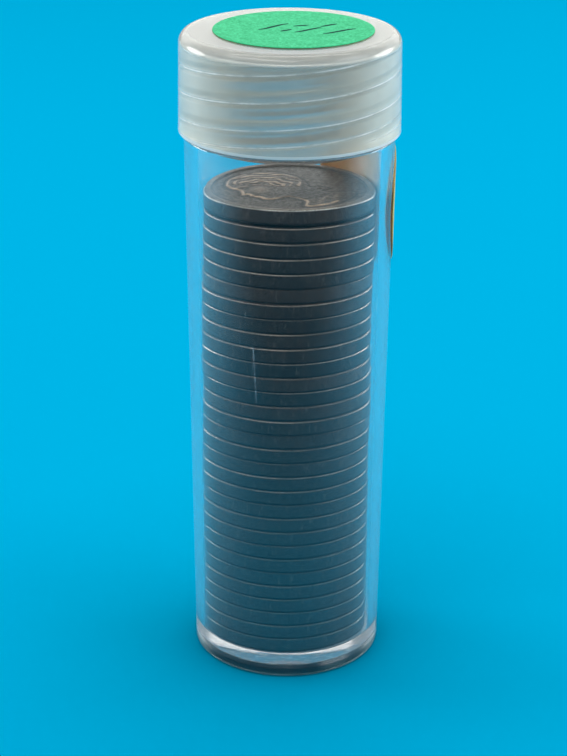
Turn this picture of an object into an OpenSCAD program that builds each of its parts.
// Clear screw-top coin tube with a milky cap, two round paper stickers and a stack of coins.
// Lengths are in millimetres. The origin is the centre of the tube's underside, on the
// surface that it stands on, and +Z is up. The front of the tube is -Y.

/* [Coins] */
// Diameter of one coin
coin_d = 21.21; // [19:0.01:24]
// Thickness of one coin over its rims
coin_t = 1.9; // [1.6:0.01:2.4]
// Width of the raised rim on each face of a coin
coin_rim_w = 0.9; // [0.6:0.1:1.6]
// Depth of the field inside the rim
coin_field_drop = 0.2; // [0.05:0.01:0.3]
// Width of the slope from the rim down to the field
coin_rim_slope = 0.25; // [0.1:0.05:0.5]
// Radius of a coin's worn outer corners
coin_edge_r = 0.2; // [0.05:0.05:0.4]
// Places for coins in a full tube
places = 40; // [25:1:50]
// Places left empty above the stack
empty_places = 9; // [0:1:20]
// How far the top coin leans back, in degrees, with its rear edge down
top_coin_lean_turn = 1; // [0:0.1:1.5]

/* [Tube] */
// Radial room between a coin and the bore, at the floor
coin_play = 0.25; // [0.2:0.05:0.8]
// Growth of the bore's radius from the floor to the rim
bore_gain_r = 0.3; // [0:0.05:0.6]
// Head room above a full stack
head_room = 0.9; // [0.5:0.1:3]
// Thickness of the floor, the recess under it included
floor_t = 3.15; // [2.5:0.05:5]
// Wall thickness at the foot
foot_wall = 1.15; // [0.9:0.05:2.5]
// Wall thickness just under the shoulder
shoulder_wall = 1.7; // [1.6:0.05:3]
// Wall thickness of the neck at the rim
neck_wall = 0.9; // [0.7:0.05:1.1]
// Height of the neck, from the shoulder to the rim
neck_h = 11.1; // [8:0.1:16]
// Radius of the outer corner of the foot
foot_edge_r = 0.5; // [0.1:0.1:0.8]
// Radius of the outer corner of the shoulder
shoulder_edge_r = 0.25; // [0.1:0.05:0.4]
// Radius in the corner where the neck meets the shoulder
neck_root_r = 0.2; // [0.05:0.05:0.3]
// Radius of the rim's two corners
rim_edge_r = 0.3; // [0.1:0.05:0.3]
// Depth of the recess in the underside
foot_recess = 1.35; // [0.1:0.05:1.6]
// Width of the ring that the tube stands on
foot_ring_w = 1.5; // [1:0.1:4]
// Diameter of the moulding gate's dimple in the recess
gate_d = 3; // [1:0.5:5]
// Depth of the gate's dimple
gate_drop = 0.3; // [0.1:0.1:0.6]

/* [Cap] */
// Radial room between the neck and the cap, taken up by the screw thread
thread_room = 0.5; // [0.35:0.05:0.8]
// Wall thickness of the cap's skirt at its mouth
cap_wall = 0.9; // [0.6:0.05:1.5]
// Thickness of the cap's top
cap_top_t = 1.2; // [0.8:0.05:2]
// Shrink of the cap's outer radius from its mouth to its top
cap_draft = 0.15; // [0:0.01:0.3]
// Radius of the cap's top corner
cap_edge_r = 1.3; // [0.5:0.1:1.5]
// Radius of the outer corner of the cap's mouth
cap_mouth_r = 0.25; // [0.1:0.05:0.4]
// Radius inside the cap, between skirt and top
cap_inner_r = 0.3; // [0.1:0.05:0.3]
// Gap between the cap's mouth and the shoulder when it is screwed home
mouth_gap = 0.35; // [0.2:0.05:1]
// Gap between the rim and the cap's top
seat_gap = 0.1; // [0.05:0.05:0.3]

/* [Stickers] */
// Diameter of the green sticker on the cap
cap_label_d = 19.3; // [12:0.1:22]
// How far the green sticker sits off the cap's centre, to the right
cap_label_off = 0.4; // [0:0.1:1]
// Diameter of the tan sticker on the tube's side
side_label_d = 18.2; // [12:0.1:20]
// Space between the tan sticker's top and the shoulder
side_label_drop = 0.2; // [0.1:0.1:5]
// Direction of the tan sticker's middle, in degrees from the front towards +X
side_label_turn = 120; // [0:1:180]
// Thickness of the stickers' paper
paper_t = 0.1; // [0.06:0.01:0.2]
// Thickness of the glue film under a sticker
glue_t = 0.05; // [0.03:0.01:0.1]
// Space between the tan sticker's glue and the wall
side_glue_gap = 0.03; // [0.01:0.01:0.05]

/* [Hidden] */
$fn = 96;
overrun = 1;
corner_steps = 8;

// Coins: how many there are, and where each one lies
coin_count = places - empty_places;
coin_r = coin_d / 2;
coin_names = [for (i = [1:coin_count]) str("coin_", i < 10 ? "0" : "", i)];
// The stack leans on the left wall low down and steps back to the middle near its top.
// A coin's shift is a share of its own play, from the lowest coin up.
left_shares = [0.8, 0.95, 0.95, 0.9, 0.95, 0.7, 0.8, 0.85, 0.9, 0.9, 0.75, 0.9, 0.9, 0.8, 0.7,
               0.6, 0.4, 0.4, 0.5, 0.75, 0.75, 0.65, 0.65, 0.55, 0.55, 0.35, 0.05, 0, -0.05, -0.1, -0.1];
back_shares = [0.1, -0.2, 0.3, -0.1, 0.05, 0.35, -0.25, 0.1, -0.3, 0.2, 0.4, -0.15, 0.1, 0.25, -0.2,
               0.3, -0.35, 0.15, 0.4, -0.1, 0.2, -0.3, 0.1, 0.35, -0.2, 0.7, 0.3, 0.3, 0.4, 0.85, 0.85];
// Least gap between a coin and the bore
coin_touch_gap = coin_play / 7;

// Tube: levels from the ground up, and radii
bore_depth = places * coin_t + head_room;
rim_z = floor_t + bore_depth;
shoulder_z = rim_z - neck_h;
foot_bore_r = coin_r + coin_play;
function bore_r(z) = foot_bore_r + bore_gain_r * (z - floor_t) / bore_depth;
foot_r = foot_bore_r + foot_wall;
shoulder_r = bore_r(shoulder_z) + shoulder_wall;
neck_r = bore_r(rim_z) + neck_wall;
function body_r(z) = foot_r + (shoulder_r - foot_r) * z / shoulder_z;

// Cap: levels and radii when it is screwed home
mouth_z = shoulder_z + mouth_gap;
ceiling_z = rim_z + seat_gap;
cap_top_z = ceiling_z + cap_top_t;
cap_bore_r = neck_r + thread_room;
mouth_r = cap_bore_r + cap_wall;
crown_r = mouth_r - cap_draft;

// Side sticker: its middle and the band of wall that it lies on
side_label_z = shoulder_z - side_label_drop - side_label_d / 2;

// Round corner between two straight sides, as points. Angles run from the first side to the last.
function corner(centre, r, from, to) = [for (i = [0:corner_steps])
    let (angle = from + (to - from) * i / corner_steps) centre + r * [cos(angle), sin(angle)]];

// Outline of a coin's section from its middle out, with the coin's underside at height zero
function coin_section() = concat(
    [[0, coin_field_drop],
     [coin_r - coin_rim_w - coin_rim_slope, coin_field_drop],
     [coin_r - coin_rim_w, 0]],
    corner([coin_r - coin_edge_r, coin_edge_r], coin_edge_r, -90, 0),
    corner([coin_r - coin_edge_r, coin_t - coin_edge_r], coin_edge_r, 0, 90),
    [[coin_r - coin_rim_w, coin_t],
     [coin_r - coin_rim_w - coin_rim_slope, coin_t - coin_field_drop],
     [0, coin_t - coin_field_drop]]);

// Play of the coin at place i, and its shift off the axis
function free_play(i) = bore_r(floor_t + (i - 1) * coin_t) - coin_r - coin_touch_gap;
function shift(i) = free_play(i) * [-left_shares[(i - 1) % len(left_shares)],
                                    back_shares[(i - 1) % len(back_shares)]
                                    * sqrt(1 - pow(left_shares[(i - 1) % len(left_shares)], 2))];

module coin(i) {
    lean = i == coin_count ? top_coin_lean_turn : 0;
    color([0.52, 0.50, 0.47])
    translate([shift(i).x, shift(i).y + coin_r, floor_t + (i - 1) * coin_t])
    rotate([-lean, 0, 0]) translate([0, -coin_r, 0])
    rotate_extrude() polygon(coin_section());
}

// Moulded tube: tapered body, shoulder, plain neck under the thread, and a thick floor
module tube() {
    color([0.80, 0.92, 0.97, 0.35])
    difference() {
        rotate_extrude() polygon(concat(
            [[0, 0]],
            corner([foot_r - foot_edge_r, foot_edge_r], foot_edge_r, -90, 0),
            corner([shoulder_r - shoulder_edge_r, shoulder_z - shoulder_edge_r], shoulder_edge_r, 0, 90),
            corner([neck_r + neck_root_r, shoulder_z + neck_root_r], neck_root_r, 270, 180),
            corner([neck_r - rim_edge_r, rim_z - rim_edge_r], rim_edge_r, 0, 90),
            corner([bore_r(rim_z) + rim_edge_r, rim_z - rim_edge_r], rim_edge_r, 90, 180),
            [[foot_bore_r, floor_t], [0, floor_t]]));
        translate([0, 0, -overrun]) cylinder(r = foot_r - foot_ring_w, h = overrun + foot_recess);
        cylinder(d = gate_d, h = foot_recess + gate_drop);
    }
}

// Moulded cap: drafted skirt, rounded top corner, flat top
module cap() {
    color([0.86, 0.88, 0.85, 0.75])
    rotate_extrude() polygon(concat(
        [[cap_bore_r, mouth_z]],
        corner([mouth_r - cap_mouth_r, mouth_z + cap_mouth_r], cap_mouth_r, -90, 0),
        corner([crown_r - cap_edge_r, cap_top_z - cap_edge_r], cap_edge_r, 0, 90),
        [[0, cap_top_z], [0, ceiling_z]],
        corner([cap_bore_r - cap_inner_r, ceiling_z - cap_inner_r], cap_inner_r, 90, 0)));
}

module cap_label_glue() {
    color([0.85, 0.85, 0.75])
    translate([cap_label_off, 0, cap_top_z]) cylinder(d = cap_label_d, h = glue_t);
}

module cap_label() {
    color([0.25, 0.85, 0.20])
    translate([cap_label_off, 0, cap_top_z + glue_t]) cylinder(d = cap_label_d, h = paper_t);
}

// Outline that a round sticker wrapped on the wall shows when it is looked at straight on,
// as points of height over width
function wrapped_outline() = [for (a = [0:360 / $fn:359.9])
    let (up = side_label_d / 2 * cos(a), along = side_label_d / 2 * sin(a), r = body_r(side_label_z + up))
    [-up, r * sin(along / r * 180 / PI)]];

// Round piece of a skin that lies on the tube's tapered wall
module on_wall(below, thickness) {
    low_z = side_label_z - side_label_d / 2 - overrun;
    high_z = side_label_z + side_label_d / 2 + side_label_drop;
    rotate([0, 0, side_label_turn - 90])
    intersection() {
        rotate_extrude() polygon([
            [body_r(low_z) + below, low_z], [body_r(low_z) + below + thickness, low_z],
            [body_r(high_z) + below + thickness, high_z], [body_r(high_z) + below, high_z]]);
        translate([0, 0, side_label_z]) rotate([0, 90, 0])
            linear_extrude(shoulder_r + overrun) polygon(wrapped_outline());
    }
}

module side_label_glue() {
    color([0.85, 0.85, 0.75]) on_wall(side_glue_gap, glue_t);
}

module side_label() {
    color([0.72, 0.60, 0.32]) on_wall(side_glue_gap + glue_t, paper_t);
}

tube();
cap();
cap_label();
cap_label_glue();
side_label();
side_label_glue();
for (i = [1:coin_count]) coin(i);
